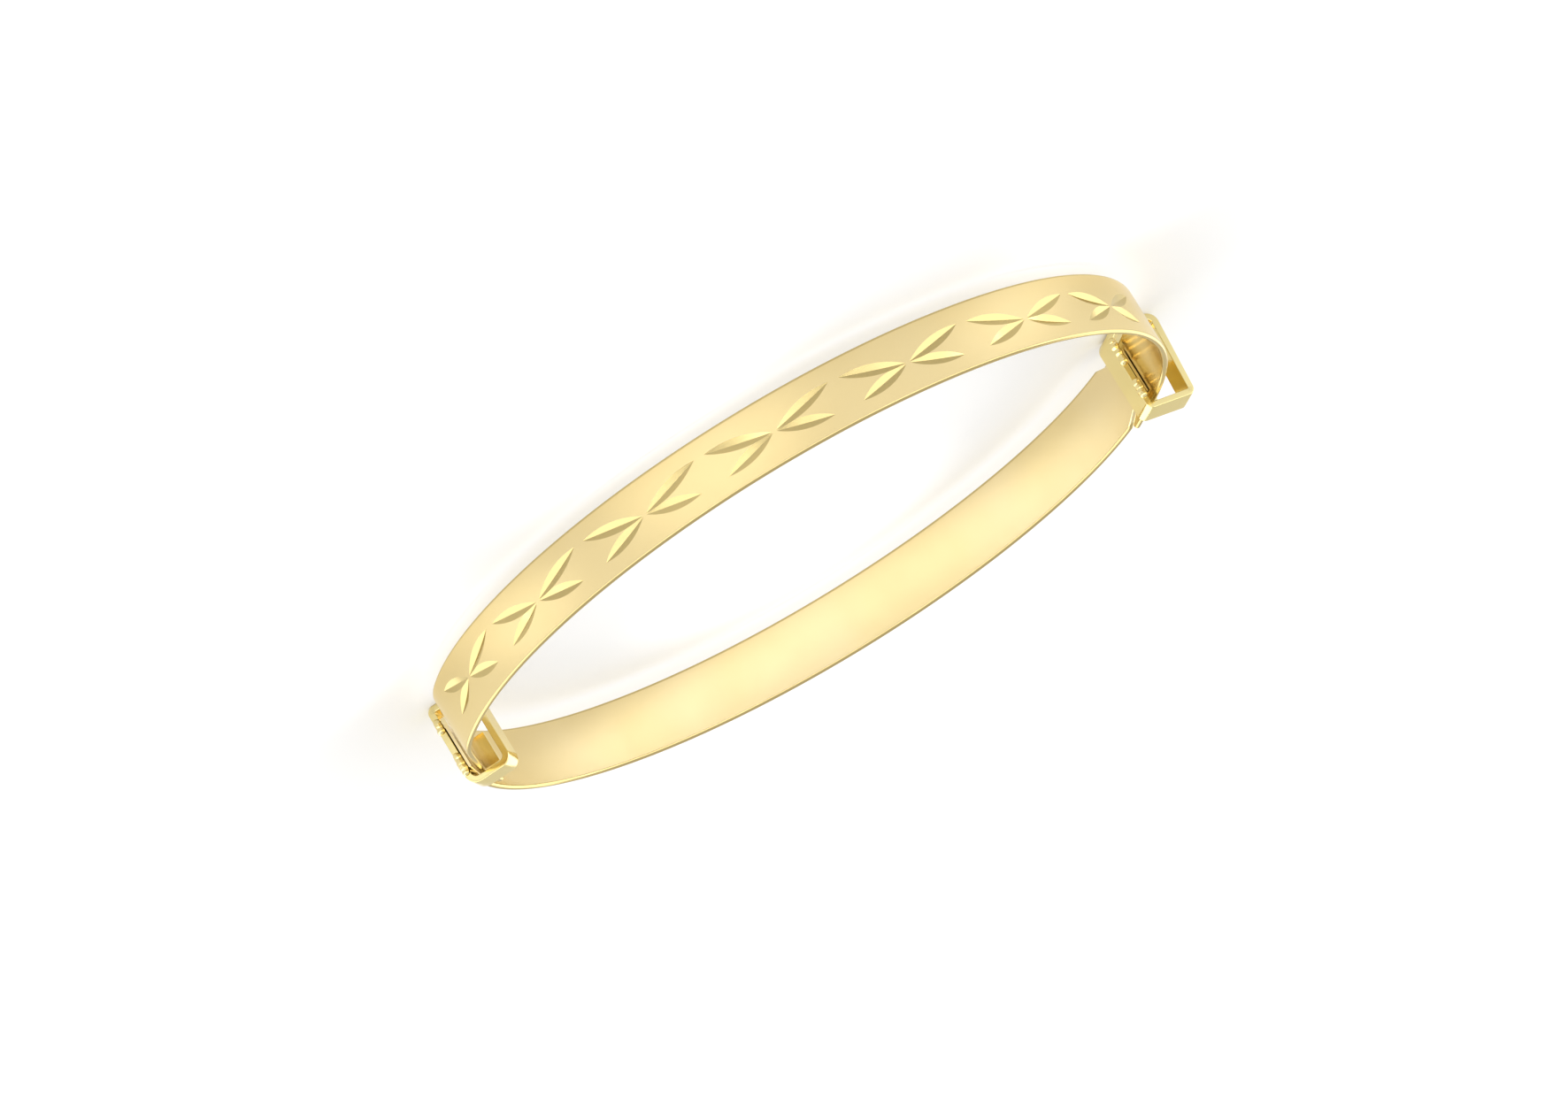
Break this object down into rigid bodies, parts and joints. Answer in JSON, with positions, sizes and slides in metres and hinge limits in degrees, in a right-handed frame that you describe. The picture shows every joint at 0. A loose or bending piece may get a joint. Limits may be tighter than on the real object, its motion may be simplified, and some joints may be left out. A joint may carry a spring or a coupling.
{
  "type": "expanding bangle bracelet",
  "caption": "Slim round bangle of two half bands, the cut-decorated front sliding out through rectangular keeper loops on the plain back.",
  "frame": {"origin": "under the centre of the ring, in the plane that the keeper loops rest on", "axes": "+Z along the ring's axis with the bangle lying flat; -Y to the middle of the decorated front; +X to the left keeper loop"},
  "size_m": [0.0486, 0.0463, 0.0056],
  "materials": {
    "front_gold": "polished pale yellow gold",
    "back_gold": "polished pale yellow gold",
    "keeper_gold": "polished yellow gold strip",
    "solder_gold": "fused gold solder, slightly uneven"
  },
  "bodies": {
    "back_half": {"back_band": "back_gold", "left_keeper": "keeper_gold", "right_keeper": "keeper_gold", "left_solder": "solder_gold", "right_solder": "solder_gold"},
    "front_half": {"front_band": "front_gold", "left_stop": "keeper_gold", "right_stop": "keeper_gold"}
  },
  "joints": [
    {"name": "expansion_slide", "type": "slide", "parent": "back_half", "child": "front_half", "axis": [-0.2045, -0.9789, 0], "range_m": [0, 0.0022]}
  ]
}
